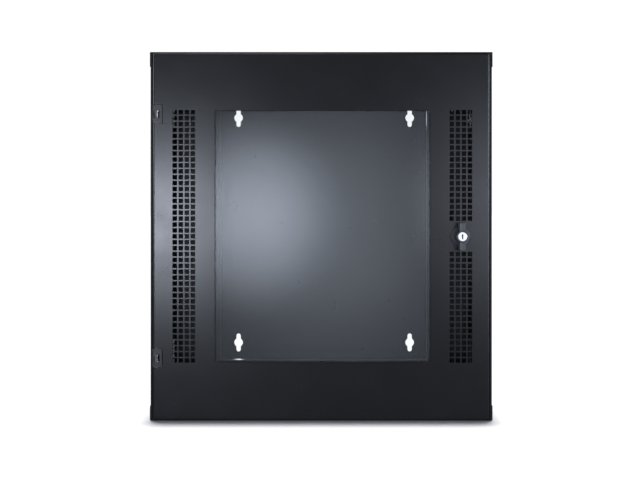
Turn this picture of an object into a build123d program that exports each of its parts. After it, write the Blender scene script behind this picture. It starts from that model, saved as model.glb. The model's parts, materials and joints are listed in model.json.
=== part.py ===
from build123d import *
import math
import os

# A 13-unit wall-mount network rack cabinet.  Millimetres, +Z up, front towards -Y.
# The origin is the middle of the face that rests on the wall.

# ---- Driving dimensions ------------------------------------------------------------------
WIDTH = 586.0           # over the side flanges of the top and bottom panels
HEIGHT = 630.0
DEPTH = 630.0           # from the wall to the door's face
WALL_DEPTH = 100.0      # depth of the section that stays on the wall
SWING_GAP = 1.0         # between the wall section and the centre section
SKIN = 1.2              # cover sheet
FRAME = 1.5             # frame sheet
FIT = 0.05              # radial clearance of a shaft in its bore

DOOR_PROUD = 6.0        # the door's face stands this far in front of the body's edge
DOOR_WIDTH = 574.0
DOOR_HEIGHT = 624.0
DOOR_DEPTH = 20.0
DOOR_LIP = 14.0         # inward lip round the back of the door pan
WINDOW_WIDTH = 367.0
WINDOW_HEIGHT = 429.0
WINDOW_X = 2.0          # the window, the vents and the lock sit a little off the door's middle
GLASS_OVERLAP = 12.0
GLASS = 4.0

VENT_HOLE = 7.7
VENT_ROW_PITCH = 10.07
VENT_COLUMN_PITCH = 10.3
VENT_COLUMNS = 4
VENT_ROWS = 43
VENT_ROWS_BESIDE_LOCK = 19
VENT_X = 236.0          # from the window's middle to the centre of each vent strip

KEYHOLE_X = 203.2       # 16 in between keyholes
KEYHOLE_Z = 266.7       # 21 in between keyholes
KEYHOLE_HEAD = 20.2
KEYHOLE_SLOT = 10.2
KEYHOLE_LENGTH = 42.5

UNITS = 13
UNIT = 44.45
RAIL_HOLE_X = 465.1 / 2
RAIL_OPENING = 450.8 / 2
RAIL_HOLE_R = 2.1       # tapped 10-32
RAIL_SHEET = 2.0
RAIL_FRONT = -560.0     # the rails' front face
RAIL_TRAVEL = 340.0

HINGE_Z = 208.0         # door hinges above and below the middle
HINGE_PLATE_W = 15.6
HINGE_PLATE_H = 31.5
HINGE_SLOT_W = 11.3
HINGE_SLOT_H = 12.5
PIN_R = 3.0

LOCK_X = WINDOW_X + 235.2
HANDLE_REACH = 28.0     # the wing handle stands this far in front of the door
SWING_LOCK_Y = -125.0
HOOK_INNER_R = 37.0
HOOK_OUTER_R = 45.0
KEEPER_R = 33.0         # distance of the keeper pin from the swing lock's axis
KEEPER_ANGLE = -18.0

# ---- Derived places ------------------------------------------------------------------------
HALF_W = WIDTH / 2
HALF_H = HEIGHT / 2
SIDE_X = HALF_W - SKIN                    # outer face of the side panels
SIDE_IN_X = SIDE_X - SKIN                 # inner face of the side panels
TOP_IN_Z = HALF_H - SKIN                  # underside of the top panel
DOOR_FACE = -DEPTH
BODY_FRONT = -(DEPTH - DOOR_PROUD)
DOOR_BACK = DOOR_FACE + DOOR_DEPTH
DOOR_IN = DOOR_FACE + SKIN                # inner face of the door's sheet
FRAME_LIP = 2.0                           # thickness of the front frame's side lips
SEAL_FACE = -604.0                        # front of the flange that carries the door seal
SEAL_BACK = SEAL_FACE + FRAME
FRONT_OPEN_X = 262.0
FRONT_OPEN_Z = 288.0
REAR_OPEN_X = 232.0
REAR_OPEN_Z = 290.0
CENTRE_BACK = -(WALL_DEPTH + SWING_GAP)
HINGE_X = -(DOOR_WIDTH / 2 - 5.4)
HINGE_Y = DOOR_FACE + 5.0
RAIL_HEIGHT = UNITS * UNIT + 10.0
BRACE_X = FRONT_OPEN_X                    # the braces' inner face
BRACE_Z = 262.0
BRACE_HEIGHT = 34.0
BRACE_FRONT = -584.0
BRACE_REAR = -122.0
BARREL_R = 4.5
BARREL_X = HALF_W + BARREL_R + 0.4
BARREL_Y = -(WALL_DEPTH + SWING_GAP / 2)
BARREL_PIN_R = 2.5
SWING_HINGE_Z = 200.0
KNUCKLE = 24.0                            # height of one swing-hinge knuckle
FAN_X = 110.0
FAN_Y = -430.0
FAN_HOLE_R = 58.0
FAN_PITCH = 105.0
FAN_DISC_R = 66.0
FAN_SCREW_R = 62.0
FLUSH_HEAD_R = 3.2
COVER_HOLE_R = 1.6      # clears the small cover screws
STRIKE_SHEET = 1.5
CAM_FRONT = SEAL_BACK + STRIKE_SHEET + 0.6
CAM_THICK = 3.0
SPINDLE_R = 5.0


# ---- Building blocks -----------------------------------------------------------------------
def block(x0, x1, y0, y1, z0, z1):
    """A box between two corners."""
    size = Box(abs(x1 - x0), abs(y1 - y0), abs(z1 - z0))
    return Pos((x0 + x1) / 2, (y0 + y1) / 2, (z0 + z1) / 2) * size


def facing_front(sketch, back_y, thickness):
    """A sketch in X and Z, extruded from back_y towards the front."""
    return extrude(Plane.XZ.offset(-back_y) * sketch, thickness)


def facing_side(sketch, low_x, thickness):
    """A sketch in Y and Z, extruded from low_x towards +X."""
    return extrude(Plane.YZ.offset(low_x) * sketch, thickness)


def facing_up(sketch, low_z, thickness):
    """A sketch in X and Y, extruded upwards from low_z."""
    return extrude(Plane.XY.offset(low_z) * sketch, thickness)


def rod(point, direction, radius, length):
    """A cylinder that starts at a point and runs along a direction."""
    start = Plane(origin=point, z_dir=direction)
    return start.location * Pos(0, 0, length / 2) * Cylinder(radius, length)


def rim(outer_x, outer_z, inner_x, inner_z):
    """A rectangular ring, given by its half sizes."""
    return Rectangle(2 * outer_x, 2 * outer_z) - Rectangle(2 * inner_x, 2 * inner_z)


def mirrored(shape):
    """The same piece on the other side of the middle."""
    return shape.mirror(Plane.YZ)


def flipped(shape):
    """The same piece upside down, for the bottom of the cabinet."""
    return shape.mirror(Plane.XY)


def pan_screw(point, direction, shank_r, length):
    """A cross-recess pan head whose underside is at the point, shank pointing the other way."""
    head_r = 1.9 * shank_r
    head_h = 1.2 * shank_r
    head = Pos(0, 0, head_h / 2) * Cylinder(head_r, head_h)
    head = fillet(head.edges().filter_by(GeomType.CIRCLE).sort_by(Axis.Z)[-1:], 0.45 * head_h)
    recess = Box(head_r, 0.25 * head_r, head_h) + Box(0.25 * head_r, head_r, head_h)
    head -= Pos(0, 0, head_h) * recess
    shank = Pos(0, 0, -length / 2) * Cylinder(shank_r, length)
    return Plane(origin=point, z_dir=direction).location * (head + shank)


def flush_screw(point, direction):
    """A flat-headed screw that fills its hole in the flange and grips the side panel."""
    recess = 1.1 * FLUSH_HEAD_R
    head = Pos(0, 0, -SKIN / 2) * Cylinder(FLUSH_HEAD_R, SKIN)
    head -= Box(recess, 0.8, 1.0) + Box(0.8, recess, 1.0)
    return Plane(origin=point, z_dir=direction).location * head


def hex_nut(point, direction, shank_r, height):
    """A nut that sits on the point."""
    nut = extrude(RegularPolygon(1.75 * shank_r, 6, major_radius=False), height)
    nut -= Pos(0, 0, height / 2) * Cylinder(shank_r, height)
    return Plane(origin=point, z_dir=direction).location * nut


def coil_spring(point, radius, wire_r, height, turns):
    """A compression spring that stands on the point."""
    rise = height - 2 * wire_r
    path = Helix(rise / turns, rise, radius)
    section = Plane(origin=path @ 0, z_dir=path % 0) * Circle(wire_r)
    return Pos(*point) * Pos(0, 0, wire_r) * sweep(section, path=path)


def key_barrel(face, direction, across, radius, length):
    """A lock's key barrel, with an upright keyway cut in the face."""
    barrel = Pos(0, 0, -length / 2) * Cylinder(radius, length)
    barrel = chamfer(barrel.edges().filter_by(GeomType.CIRCLE).sort_by(Axis.Z)[-1:], 0.6)
    keyway = Box(1.9, 1.1 * radius, 6) + Pos(-0.8, 0.2 * radius, 0) * Box(1.6, 0.4 * radius, 6)
    return Plane(origin=face, x_dir=across, z_dir=direction).location * (barrel - keyway)


# ---- Wall section --------------------------------------------------------------------------
def keyholes():
    hole = Circle(KEYHOLE_HEAD / 2) + SlotOverall(KEYHOLE_LENGTH, KEYHOLE_SLOT, rotation=90)
    return [Pos(x, z) * hole for x in (-KEYHOLE_X, KEYHOLE_X) for z in (-KEYHOLE_Z, KEYHOLE_Z)]


WALL_RIM = 14.8         # inward rim at the front of the wall section's side walls


def wall_back_plate():
    plate = facing_front(Rectangle(2 * SIDE_X, 2 * TOP_IN_Z) - keyholes(), 0, FRAME)
    wall = block(SIDE_X - FRAME, SIDE_X, -WALL_DEPTH, 0, -TOP_IN_Z, TOP_IN_Z)
    edge = block(SIDE_X - WALL_RIM, SIDE_X, -WALL_DEPTH, FRAME - WALL_DEPTH, -TOP_IN_Z, TOP_IN_Z)
    side = wall + edge
    return plate + side + mirrored(side)


CABLE_ENTRY = (250.0, 56.0)
CABLE_COVER = (274.0, 78.0)
WALL_ENTRY_Y = -52.0
CENTRE_ENTRY_Y = -190.0
COVER_SCREW = (131.0, 33.5)


def lapped_panel(front_y, back_y, entry_y):
    """A top panel whose side flanges lap the side panels, with one cable entry."""
    flange_drop = 25.0
    middle_y = (front_y + back_y) / 2
    sheet = Rectangle(WIDTH, back_y - front_y) - Pos(0, entry_y - middle_y) * Rectangle(*CABLE_ENTRY)
    screw_holes = [Pos(x, entry_y - middle_y + y) * Circle(COVER_HOLE_R) for x, y in corners(*COVER_SCREW)]
    panel = facing_up(Pos(0, middle_y) * (sheet - screw_holes), TOP_IN_Z, SKIN)
    flange = block(SIDE_X, HALF_W, front_y, back_y, HALF_H - flange_drop, HALF_H)
    panel = panel + flange + mirrored(flange)
    folds = panel.edges().filter_by(Axis.Y).group_by(Axis.Z)[-1]
    outer = [e for e in folds if abs(e.center().X) > HALF_W - 0.1]
    return fillet(outer, 1.0)


def corners(x, y):
    return [(-x, -y), (x, -y), (-x, y), (x, y)]


def wall_top_panel():
    return lapped_panel(-WALL_DEPTH, 0, WALL_ENTRY_Y) - flange_screw_holes(-WALL_DEPTH / 2, 1)


FOOT_TABS = ((-222, -114), (-7, 52), (157, 221))    # left and right edge of each tab
FOOT_TAB_TOP = -299.0


def wall_bottom_panel():
    """The bottom panel also carries three low tabs that stand in front of the back plate."""
    panel = flipped(wall_top_panel())
    for left, right in FOOT_TABS:
        panel += block(left, right, -FRAME - SKIN, -FRAME, -TOP_IN_Z, FOOT_TAB_TOP)
    return panel


def cable_cover(entry_y):
    cover = Rectangle(*CABLE_COVER) - [Pos(x, y) * Circle(COVER_HOLE_R) for x, y in corners(*COVER_SCREW)]
    return facing_up(Pos(0, entry_y) * cover, TOP_IN_Z - SKIN, SKIN)


def cable_cover_screws(entry_y):
    low = TOP_IN_Z - SKIN
    return [pan_screw((x, entry_y + y, low), (0, 0, -1), 1.5, 2.2) for x, y in corners(*COVER_SCREW)]


def top_and_bottom(shapes):
    return shapes + [flipped(s) for s in shapes]


# ---- Flange screws: flush screws through the top and bottom panels' side flanges ------------
FLANGE_SCREW_Z = 300.0


def flange_screw_places(middle_y, count):
    spacing = 160.0
    return [middle_y + spacing * (i - (count - 1) / 2) for i in range(count)]


def flange_screw_holes(middle_y, count):
    """Countersunk holes that the flush screws sit in."""
    holes = []
    for y in flange_screw_places(middle_y, count):
        for side in (-1, 1):
            start = (side * (HALF_W + 1), y, FLANGE_SCREW_Z)
            holes.append(rod(start, (-side, 0, 0), FLUSH_HEAD_R + 0.1, 2.5))
    return holes


def flange_screws(middle_y, count):
    screws = []
    for y in flange_screw_places(middle_y, count):
        for side in (-1, 1):
            screws.append(flush_screw((side * HALF_W, y, FLANGE_SCREW_Z), (side, 0, 0)))
    return top_and_bottom(screws)


# ---- Swing hinges, on the right-hand edge ---------------------------------------------------
LEAF = 2.0
LEAF_REACH = 30.0


def swing_leaf(z, towards_wall):
    """One hinge leaf: a plate on the side wall, and its knuckles round the barrel's axis."""
    away = 1 if towards_wall else -1
    near_y = BARREL_Y + away * (SWING_GAP / 2 + 0.2)
    far_y = near_y + away * LEAF_REACH
    half = 1.5 * KNUCKLE
    plate = block(HALF_W - SKIN, HALF_W - SKIN + LEAF, near_y, far_y, z - half, z + half)
    levels = (-KNUCKLE, KNUCKLE) if towards_wall else (0.0,)
    for level in levels:
        bottom = z + level - KNUCKLE / 2 + 0.2
        knuckle = rod((BARREL_X, BARREL_Y, bottom), (0, 0, 1), BARREL_R, KNUCKLE - 0.4)
        web = block(SIDE_X, BARREL_X, near_y, near_y + away * LEAF, bottom, bottom + KNUCKLE - 0.4)
        plate += knuckle + web
    gaps = [level for level in (-KNUCKLE, 0.0, KNUCKLE) if level not in levels]
    for level in gaps:
        middle = z + level
        low = middle - KNUCKLE / 2 - 0.2
        plate -= rod((BARREL_X, BARREL_Y, low), (0, 0, 1), BARREL_R + 0.4, KNUCKLE + 0.4)
    bore = BARREL_PIN_R if towards_wall else BARREL_PIN_R + FIT
    plate -= rod((BARREL_X, BARREL_Y, z - half - 1), (0, 0, 1), bore, 2 * half + 2)
    for screw_z in swing_leaf_screw_heights(z):
        plate -= rod((HALF_W - SKIN, near_y + away * LEAF_REACH / 2, screw_z), (1, 0, 0), 2.0, LEAF)
    return plate


def swing_leaf_screw_heights(z):
    return (z - KNUCKLE, z + KNUCKLE)


def swing_leaf_screws(towards_wall):
    away = 1 if towards_wall else -1
    y = BARREL_Y + away * (SWING_GAP / 2 + 0.2 + LEAF_REACH / 2)
    x = HALF_W - SKIN + LEAF
    heights = [h for z in (-SWING_HINGE_Z, SWING_HINGE_Z) for h in swing_leaf_screw_heights(z)]
    return [pan_screw((x, y, h), (1, 0, 0), 2.0, LEAF) for h in heights]


def swing_hinge_pin(z):
    length = 3 * KNUCKLE + 1.0
    pin = rod((BARREL_X, BARREL_Y, z - length / 2), (0, 0, 1), BARREL_PIN_R, length)
    cap = rod((BARREL_X, BARREL_Y, z + length / 2), (0, 0, 1), BARREL_R - 0.3, 1.6)
    return pin + cap


# ---- Swing lock, at the left-hand rear edge -------------------------------------------------
def keeper_place():
    angle = math.radians(KEEPER_ANGLE)
    return SWING_LOCK_Y + KEEPER_R * math.cos(angle), KEEPER_R * math.sin(angle)


def lock_keeper():
    """A pin that the hook cam closes round, on a plate inside the wall section's left wall."""
    y, z = keeper_place()
    inner_x = -(SIDE_X - FRAME)
    plate = block(inner_x, inner_x + 3, -97, -60, z - 22, z + 22)
    return plate + rod((inner_x, y, z), (1, 0, 0), 3.0, 27.0)


SWING_PLUG_R = 7.0
SWING_BODY_R = 9.5
SWING_BODY_LENGTH = 15.0
HOOK_X = -273.5
HOOK_THICK = 3.0
CAM_SCREW_GRIP = 5.0    # the cam screws reach this far into their shafts


def swing_lock_housing():
    face = (-HALF_W, SWING_LOCK_Y, 0)
    flange = rod(face, (1, 0, 0), 13.0, SKIN)
    body = rod(face, (1, 0, 0), SWING_BODY_R, SWING_BODY_LENGTH)
    return flange + body - rod(face, (1, 0, 0), SWING_PLUG_R + FIT, SWING_BODY_LENGTH)


def swing_lock_nut():
    return hex_nut((-SIDE_IN_X, SWING_LOCK_Y, 0), (1, 0, 0), SWING_BODY_R, 4.0)


def swing_lock_plug():
    plug = key_barrel((-HALF_W, SWING_LOCK_Y, 0), (-1, 0, 0), (0, 1, 0), SWING_PLUG_R, HALF_W + HOOK_X)
    return plug - rod((HOOK_X, SWING_LOCK_Y, 0), (-1, 0, 0), 2.0, CAM_SCREW_GRIP)


def swing_lock_cam():
    """A hook whose arc closes round the keeper pin when the key is turned."""
    reach = 60.0
    sector = [(0, 0)] + [
        (reach * math.cos(math.radians(a)), reach * math.sin(math.radians(a))) for a in (60, 78, 95)
    ]
    band = (Circle(HOOK_OUTER_R) - Circle(HOOK_INNER_R)) & make_face(Polyline(*sector, close=True))
    arm = Pos(0, HOOK_INNER_R / 2 + 1) * Rectangle(8, HOOK_INNER_R + 2)
    sketch = Pos(SWING_LOCK_Y, 0) * (band + arm + Circle(9.0) - Circle(2.0))
    return facing_side(sketch, HOOK_X, HOOK_THICK)


def swing_cam_screw():
    x = HOOK_X + HOOK_THICK
    return pan_screw((x, SWING_LOCK_Y, 0), (1, 0, 0), 2.0, HOOK_THICK + CAM_SCREW_GRIP)


# ---- Centre section ------------------------------------------------------------------------
def fan_places():
    return [(-FAN_X, FAN_Y), (FAN_X, FAN_Y)]


def fan_screw_places(x, y):
    angles = [math.radians(90 + 120 * i) for i in range(3)]
    return [(x + FAN_SCREW_R * math.cos(a), y + FAN_SCREW_R * math.sin(a)) for a in angles]


def top_panel():
    """The top has two fan positions: a round opening and four bolt holes each."""
    panel = lapped_panel(BODY_FRONT, CENTRE_BACK, CENTRE_ENTRY_Y)
    cuts = []
    for x, y in fan_places():
        cuts.append(Pos(x, y) * Circle(FAN_HOLE_R))
        cuts += [Pos(x + dx, y + dy) * Circle(2.25) for dx, dy in corners(FAN_PITCH / 2, FAN_PITCH / 2)]
        cuts += [Pos(*place) * Circle(COVER_HOLE_R) for place in fan_screw_places(x, y)]
    panel -= facing_up(Sketch() + cuts, TOP_IN_Z, SKIN)
    return panel - flange_screw_holes((BODY_FRONT + CENTRE_BACK) / 2, 3)


def bottom_panel():
    panel = flipped(lapped_panel(BODY_FRONT, CENTRE_BACK, CENTRE_ENTRY_Y))
    return panel - [flipped(h) for h in flange_screw_holes((BODY_FRONT + CENTRE_BACK) / 2, 3)]


def fan_blanking_discs():
    discs = []
    for x, y in fan_places():
        screw_holes = [Pos(*place) * Circle(COVER_HOLE_R) for place in fan_screw_places(x, y)]
        disc = Pos(x, y) * Circle(FAN_DISC_R) - screw_holes
        discs.append(facing_up(disc, TOP_IN_Z - SKIN, SKIN))
    return discs


def fan_disc_screws():
    low = TOP_IN_Z - SKIN
    places = [p for x, y in fan_places() for p in fan_screw_places(x, y)]
    return [pan_screw((x, y, low), (0, 0, -1), 1.5, 2.2) for x, y in places]


SIDE_VENT_PITCH = 10.0
SIDE_VENT_COLUMNS = 26
SIDE_VENT_ROWS = 4
SIDE_VENT_Z = 225.0


def right_side_panel():
    """A flat panel with a band of square vents near its top and another near its foot."""
    middle_y = (BODY_FRONT + CENTRE_BACK) / 2
    sheet = Pos(middle_y, 0) * Rectangle(CENTRE_BACK - BODY_FRONT, 2 * TOP_IN_Z)
    bands = []
    for z in (-SIDE_VENT_Z, SIDE_VENT_Z):
        grid = GridLocations(SIDE_VENT_PITCH, SIDE_VENT_PITCH, SIDE_VENT_COLUMNS, SIDE_VENT_ROWS)
        bands += [Pos(middle_y, z) * place * Rectangle(VENT_HOLE, VENT_HOLE) for place in grid]
    return facing_side(sheet - bands, SIDE_IN_X, SKIN)


def left_side_panel():
    lock_hole = rod((-HALF_W, SWING_LOCK_Y, 0), (1, 0, 0), SWING_BODY_R, 5)
    return mirrored(right_side_panel()) - lock_hole


def front_frame():
    """Side lips beside the door, a flange behind it for the seal, and a return at its opening."""
    lip = block(SIDE_IN_X - FRAME_LIP, SIDE_IN_X, BODY_FRONT, BRACE_FRONT, -TOP_IN_Z, TOP_IN_Z)
    face = rim(SIDE_IN_X - FRAME_LIP, TOP_IN_Z, FRONT_OPEN_X, FRONT_OPEN_Z)
    flange = facing_front(face, SEAL_BACK, FRAME)
    turned = rim(FRONT_OPEN_X + FRAME, FRONT_OPEN_Z + FRAME, FRONT_OPEN_X, FRONT_OPEN_Z)
    inward = facing_front(turned, BRACE_FRONT - 2, BRACE_FRONT - 2 - SEAL_BACK)
    cam_notch = block(FRONT_OPEN_X - 1, FRONT_OPEN_X + FRAME, SEAL_BACK, CAM_FRONT + 6, -14, 52)
    return lip + mirrored(lip) + flange + inward - cam_notch


def rear_frame():
    """A flat ring with a turned-in edge, and a slot for the swing lock's hook."""
    ring = facing_front(rim(SIDE_IN_X, TOP_IN_Z, REAR_OPEN_X, REAR_OPEN_Z), CENTRE_BACK, FRAME)
    turned = rim(REAR_OPEN_X + FRAME, REAR_OPEN_Z + FRAME, REAR_OPEN_X, REAR_OPEN_Z)
    hook_slot = block(HOOK_X - 4, HOOK_X + HOOK_THICK + 4, CENTRE_BACK + 1, CENTRE_BACK - 3, -30, 48)
    return ring + facing_front(turned, CENTRE_BACK, 18.0) - hook_slot


def rail_brace(z):
    """A channel from the front frame to the rear frame, with a long slot for the rail bolts."""
    low = z - BRACE_HEIGHT / 2
    high = z + BRACE_HEIGHT / 2
    web = block(BRACE_X, BRACE_X + FRAME, BRACE_FRONT, BRACE_REAR, low, high)
    lower = block(BRACE_X, SIDE_IN_X, BRACE_FRONT, BRACE_REAR, low, low + FRAME)
    upper = block(BRACE_X, SIDE_IN_X, BRACE_FRONT, BRACE_REAR, high - FRAME, high)
    slot_front = RAIL_FRONT + 8
    slot_rear = RAIL_FRONT + RAIL_TRAVEL + 62
    slot = block(BRACE_X - 1, BRACE_X + 3, slot_front, slot_rear, z - 3.4, z + 3.4)
    return web + lower + upper - slot


def rail_braces():
    right = [rail_brace(-BRACE_Z), rail_brace(BRACE_Z)]
    return right + [mirrored(b) for b in right]


SEAL_WIDTH = 12.0
SEAL_THICK = 4.8
SEAL_OUT_X = 285.5
SEAL_OUT_Z = 310.0


def door_seal():
    """A foam strip round the flange, in four lengths."""
    front = SEAL_FACE - SEAL_THICK
    in_x = SEAL_OUT_X - SEAL_WIDTH
    in_z = SEAL_OUT_Z - SEAL_WIDTH
    side = block(in_x, SEAL_OUT_X, front, SEAL_FACE, -SEAL_OUT_Z, SEAL_OUT_Z)
    end = block(-in_x, in_x, front, SEAL_FACE, in_z, SEAL_OUT_Z)
    return [side, mirrored(side), end, flipped(end)]


RIVET_X = 279.0
RIVET_Z = 32.0


def door_strike():
    """A wear plate behind the flange, where the latch cam turns in."""
    back = SEAL_BACK + STRIKE_SHEET
    plate = block(FRONT_OPEN_X + FRAME + 0.5, RIVET_X + 6, SEAL_BACK, back, -RIVET_Z - 6, RIVET_Z + 6)
    for z in (-RIVET_Z, RIVET_Z):
        plate -= rod((RIVET_X, SEAL_BACK, z), (0, 1, 0), 2.0, STRIKE_SHEET)
    return plate


def strike_rivets():
    back = SEAL_BACK + STRIKE_SHEET
    rivets = []
    for z in (-RIVET_Z, RIVET_Z):
        shank = rod((RIVET_X, SEAL_BACK, z), (0, 1, 0), 2.0, STRIKE_SHEET)
        head = rod((RIVET_X, back, z), (0, 1, 0), 3.6, 1.2)
        rivets.append(shank + head)
    return rivets


GROUND_STUD_R = 3.0
GROUND_STUD_BASE = 1.5


def ground_stud(point, direction, length):
    """A threaded stud on a welded base, with the nut that holds a ground wire."""
    stud = rod(point, direction, GROUND_STUD_R, length)
    base = rod(point, direction, 2 * GROUND_STUD_R, GROUND_STUD_BASE)
    seat = Vector(*point) + Vector(*direction) * (GROUND_STUD_BASE + 1.5)
    return [stud + base, hex_nut(seat, direction, GROUND_STUD_R, 4.0)]


# ---- Mounting rails ------------------------------------------------------------------------
RAIL_GAP = 0.4          # between the rail's leg and the braces it slides on
RAIL_LEG = 70.0
RAIL_EDGE = 12.0        # depth of the fold along the rail's inner edge
RAIL_HOLE_STEP = 15.875
RAIL_BOLT_R = 3.0


def right_rail():
    """An angle: its front flange has three tapped holes in each rack unit."""
    fold_x = BRACE_X - RAIL_GAP
    half = RAIL_HEIGHT / 2
    flange = block(RAIL_OPENING, fold_x, RAIL_FRONT, RAIL_FRONT + RAIL_SHEET, -half, half)
    leg = block(fold_x - RAIL_SHEET, fold_x, RAIL_FRONT, RAIL_FRONT + RAIL_LEG, -half, half)
    edge = block(RAIL_OPENING, RAIL_OPENING + RAIL_SHEET, RAIL_FRONT, RAIL_FRONT + RAIL_EDGE, -half, half)
    holes = []
    for unit in range(UNITS):
        middle = (unit - (UNITS - 1) / 2) * UNIT
        for dz in (-RAIL_HOLE_STEP, 0, RAIL_HOLE_STEP):
            holes.append(Pos(RAIL_HOLE_X, middle + dz) * Circle(RAIL_HOLE_R))
    rail = flange + leg + edge - facing_front(Sketch() + holes, RAIL_FRONT + RAIL_SHEET, RAIL_SHEET)
    for y, z in rail_bolt_places():
        rail -= rod((fold_x - RAIL_SHEET, y, z), (1, 0, 0), RAIL_BOLT_R, RAIL_SHEET)
    return rail


def rail_bolt_places():
    return [(RAIL_FRONT + dy, z) for dy in (22, 52) for z in (-BRACE_Z, BRACE_Z)]


def right_rail_bolts():
    """A bolt through the rail's leg and the brace's slot, with a nut behind the brace."""
    inner = BRACE_X - RAIL_GAP - RAIL_SHEET
    nut_seat = BRACE_X + FRAME + RAIL_GAP
    bolts = []
    for y, z in rail_bolt_places():
        bolts.append(pan_screw((inner, y, z), (-1, 0, 0), RAIL_BOLT_R, 12.0))
        bolts.append(hex_nut((nut_seat, y, z), (1, 0, 0), RAIL_BOLT_R, 5.0))
    return bolts


# ---- Door ------------------------------------------------------------------------------------
def door_vents():
    hole = Rectangle(VENT_HOLE, VENT_HOLE)
    pitches = (VENT_COLUMN_PITCH, VENT_ROW_PITCH)
    full = GridLocations(*pitches, VENT_COLUMNS, VENT_ROWS)
    part = GridLocations(*pitches, VENT_COLUMNS, VENT_ROWS_BESIDE_LOCK)
    lock_gap = (VENT_ROWS - VENT_ROWS_BESIDE_LOCK) / 2 * VENT_ROW_PITCH
    holes = [Pos(WINDOW_X - VENT_X, 0) * place * hole for place in full]
    for z in (-lock_gap, lock_gap):
        holes += [Pos(WINDOW_X + VENT_X, z) * place * hole for place in part]
    return holes


def door_panel():
    """A pressed pan with the window opening, the vents, the lock hole and two hinge notches."""
    half_w = DOOR_WIDTH / 2
    half_h = DOOR_HEIGHT / 2
    outer = block(-half_w, half_w, DOOR_FACE, DOOR_BACK, -half_h, half_h)
    outer = fillet(outer.faces().sort_by(Axis.Y)[0].edges(), 3.0)
    hollow = block(-half_w + SKIN, half_w - SKIN, DOOR_IN, DOOR_BACK - SKIN, -half_h + SKIN, half_h - SKIN)
    hollow = fillet(hollow.faces().sort_by(Axis.Y)[0].edges(), 3.0 - SKIN)
    back_x = half_w - DOOR_LIP
    back_z = half_h - DOOR_LIP
    pan = outer - hollow - block(-back_x, back_x, DOOR_BACK - SKIN - 1, DOOR_BACK + 1, -back_z, back_z)
    lock_hole = Pos(LOCK_X, 0) * Circle(LOCK_BODY_R)
    window = Pos(WINDOW_X, 0) * RectangleRounded(WINDOW_WIDTH, WINDOW_HEIGHT, 1.5)
    cuts = Sketch() + [window, lock_hole] + door_vents()
    pan -= facing_front(cuts, DOOR_IN + 0.5, SKIN + 1.0)
    notch_w = HINGE_PLATE_W + 1.2
    notch_half = HINGE_PLATE_H / 2 + 0.6
    for z in (-HINGE_Z, HINGE_Z):
        low = z - notch_half
        high = z + notch_half
        pan -= block(-half_w - 1, -half_w + notch_w, DOOR_FACE - 1, DOOR_BACK + 1, low, high)
    return pan


GASKET = 0.8
GLASS_HALF_W = WINDOW_WIDTH / 2 + GLASS_OVERLAP
GLASS_HALF_H = WINDOW_HEIGHT / 2 + GLASS_OVERLAP
GLASS_FRONT = DOOR_IN + GASKET
GLASS_BACK = GLASS_FRONT + GLASS
RETAINER_OUT = 8.0      # the retainer reaches this far outside the glass


def window_gasket():
    ring = rim(GLASS_HALF_W, GLASS_HALF_H, WINDOW_WIDTH / 2 + 0.6, WINDOW_HEIGHT / 2 + 0.6)
    return facing_front(Pos(WINDOW_X, 0) * ring, GLASS_FRONT, GASKET)


def window_glass():
    sheet = Pos(WINDOW_X, 0) * Rectangle(2 * GLASS_HALF_W, 2 * GLASS_HALF_H)
    return facing_front(sheet, GLASS_BACK, GLASS)


def retainer_stud_places():
    x = GLASS_HALF_W + RETAINER_OUT / 2 + 0.5
    z = GLASS_HALF_H + RETAINER_OUT / 2 + 0.5
    sides = [(WINDOW_X + side * x, z * i / 3) for side in (-1, 1) for i in (-2, 0, 2)]
    ends = [(WINDOW_X + x * i / 2, end * z) for end in (-1, 1) for i in (-1, 0, 1)]
    return sides + ends


def window_retainer():
    """A stepped ring that clamps the glass against the door."""
    out_x = GLASS_HALF_W + RETAINER_OUT + 1
    out_z = GLASS_HALF_H + RETAINER_OUT + 1
    clamp = rim(out_x, out_z, GLASS_HALF_W - 8, GLASS_HALF_H - 8)
    wall = rim(GLASS_HALF_W + 1.7, GLASS_HALF_H + 1.7, GLASS_HALF_W + 0.5, GLASS_HALF_H + 0.5)
    centre = Pos(WINDOW_X, 0)
    ring = facing_front(centre * clamp, GLASS_BACK + SKIN, SKIN)
    ring += facing_front(centre * wall, GLASS_BACK, GLASS_BACK - DOOR_IN)
    for x, z in retainer_stud_places():
        ring -= rod((x, DOOR_IN, z), (0, 1, 0), 2.0, 10)
    return ring


def retainer_studs():
    """Weld studs on the door's inner face."""
    return [rod((x, DOOR_IN, z), (0, 1, 0), 2.0, 11.0) for x, z in retainer_stud_places()]


def retainer_nuts():
    seat = GLASS_BACK + SKIN
    return [hex_nut((x, seat, z), (0, 1, 0), 2.0, 3.2) for x, z in retainer_stud_places()]


STIFFENER_X = 258.0
STIFFENER_WIDTH = 10.0
STIFFENER_DEPTH = 9.0


def door_stiffener(length):
    low = STIFFENER_X
    high = STIFFENER_X + STIFFENER_WIDTH
    back = DOOR_IN + STIFFENER_DEPTH
    rib = block(low, high, DOOR_IN, back, -length / 2, length / 2)
    return rib - block(low + SKIN, high - SKIN, DOOR_IN - 1, back - SKIN, -length, length)


def door_stiffeners():
    full = door_stiffener(580.0)
    return [full, mirrored(full)]


LUG_GAP = 0.6
LUG = 4.0


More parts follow.
